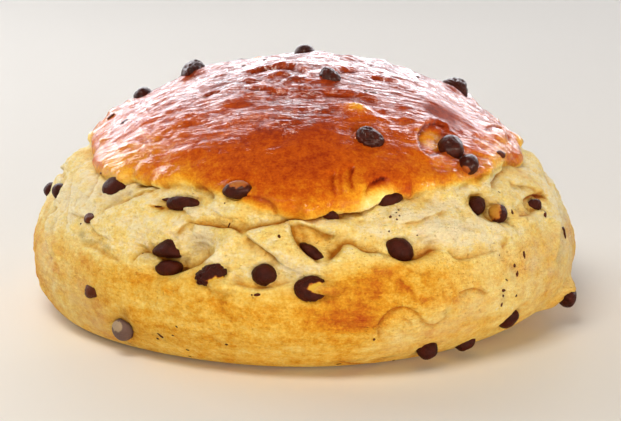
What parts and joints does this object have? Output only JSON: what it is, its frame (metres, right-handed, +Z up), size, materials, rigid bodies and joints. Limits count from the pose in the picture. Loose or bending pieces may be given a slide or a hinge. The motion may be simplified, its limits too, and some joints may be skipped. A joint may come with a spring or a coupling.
{
  "type": "chocolate drop brioche",
  "caption": "Round uncut brioche with a glazed brown cap, a torn pale band round its middle and soft chocolate drops, resting on a flat baked base.",
  "frame": {"origin": "on the flat base, below the middle of the loaf's widest line", "axes": "+X to the right and -Y towards the viewer, as the picture shows the loaf, and +Z up from the base"},
  "size_m": [0.1838, 0.1759, 0.0857],
  "materials": {
    "crust": "baked brioche dough: a glossy egg-washed brown cap over pale torn dough and a golden side",
    "chocolate": "baked dark chocolate drops, satin with softened edges"
  },
  "bodies": {
    "root": {"loaf": "crust", "drop_01": "chocolate", "drop_02": "chocolate", "drop_03": "chocolate", "drop_04": "chocolate", "drop_05": "chocolate", "drop_06": "chocolate", "drop_07": "chocolate", "drop_08": "chocolate", "drop_09": "chocolate", "drop_10": "chocolate", "drop_11": "chocolate", "drop_12": "chocolate", "drop_13": "chocolate", "drop_14": "chocolate", "drop_15": "chocolate", "drop_16": "chocolate", "drop_17": "chocolate", "drop_18": "chocolate", "drop_19": "chocolate", "drop_20": "chocolate", "drop_21": "chocolate", "drop_22": "chocolate", "drop_23": "chocolate", "drop_24": "chocolate", "drop_25": "chocolate", "drop_26": "chocolate", "drop_27": "chocolate", "drop_28": "chocolate", "drop_29": "chocolate", "drop_30": "chocolate", "drop_31": "chocolate", "drop_32": "chocolate", "drop_33": "chocolate", "drop_34": "chocolate", "drop_35": "chocolate", "drop_36": "chocolate", "drop_37": "chocolate", "drop_38": "chocolate", "drop_39": "chocolate", "drop_40": "chocolate", "drop_41": "chocolate", "drop_42": "chocolate", "drop_43": "chocolate", "drop_44": "chocolate", "drop_45": "chocolate", "drop_46": "chocolate", "drop_47": "chocolate", "drop_48": "chocolate", "drop_49": "chocolate", "drop_50": "chocolate", "drop_51": "chocolate", "drop_52": "chocolate"}
  },
  "joints": []
}
